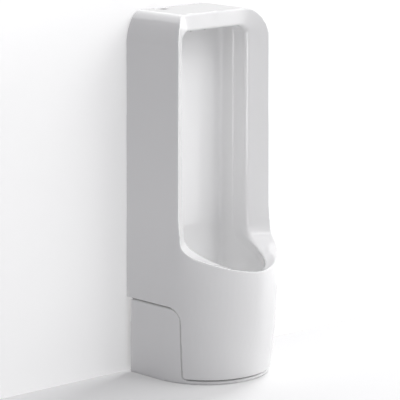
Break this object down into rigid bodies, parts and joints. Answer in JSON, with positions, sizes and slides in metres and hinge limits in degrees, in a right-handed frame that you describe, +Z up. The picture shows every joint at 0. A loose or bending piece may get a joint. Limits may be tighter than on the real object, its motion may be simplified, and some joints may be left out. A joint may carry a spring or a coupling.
{
  "type": "floor standing urinal",
  "caption": "Tall floor standing ceramic urinal with a recessed back, protruding bowl and separate plinth, with hidden jet manifold, waste trap and a lift-out strainer.",
  "frame": {"origin": "centre of the footprint on the floor", "axes": "+Z up, +Y towards the wall, the bowl looks to -Y"},
  "size_m": [0.347, 0.3581, 1],
  "materials": {
    "glaze": "glossy white glaze",
    "rubber": "matte black",
    "silicone": "grey sealant",
    "plastic": "white plastic",
    "chrome": "polished",
    "brass": "plain",
    "steel": "brushed"
  },
  "bodies": {
    "urinal": {"ceramic_body": "glaze", "plinth_base": "glaze", "joint_seal": "silicone", "inlet_seal": "rubber", "feed_pipe_ring": "rubber", "jet_front_washers": "rubber", "jet_rear_washers": "rubber", "waste_seal": "rubber", "waste_washer": "rubber", "trap_union_seal": "rubber", "trap_cup_seal": "rubber", "outlet_seal": "rubber", "wall_collar": "rubber", "flush_manifold": "plastic", "trap_body": "plastic", "trap_union_nut": "plastic", "trap_cup": "plastic", "outlet_pipe": "plastic", "outlet_nut": "plastic", "jet_nozzles": "plastic", "waste_flange": "chrome", "waste_nut": "brass", "feed_pipe": "brass", "wall_hooks": "steel", "floor_clips": "steel"},
    "lift_out_insert": {"strainer_grate": "steel", "dip_tube": "plastic", "dip_tube_ring": "rubber"}
  },
  "joints": [
    {"name": "insert_lift", "type": "slide", "parent": "urinal", "child": "lift_out_insert", "axis": [0, 0, 1], "range_m": [0, 0.11]}
  ]
}
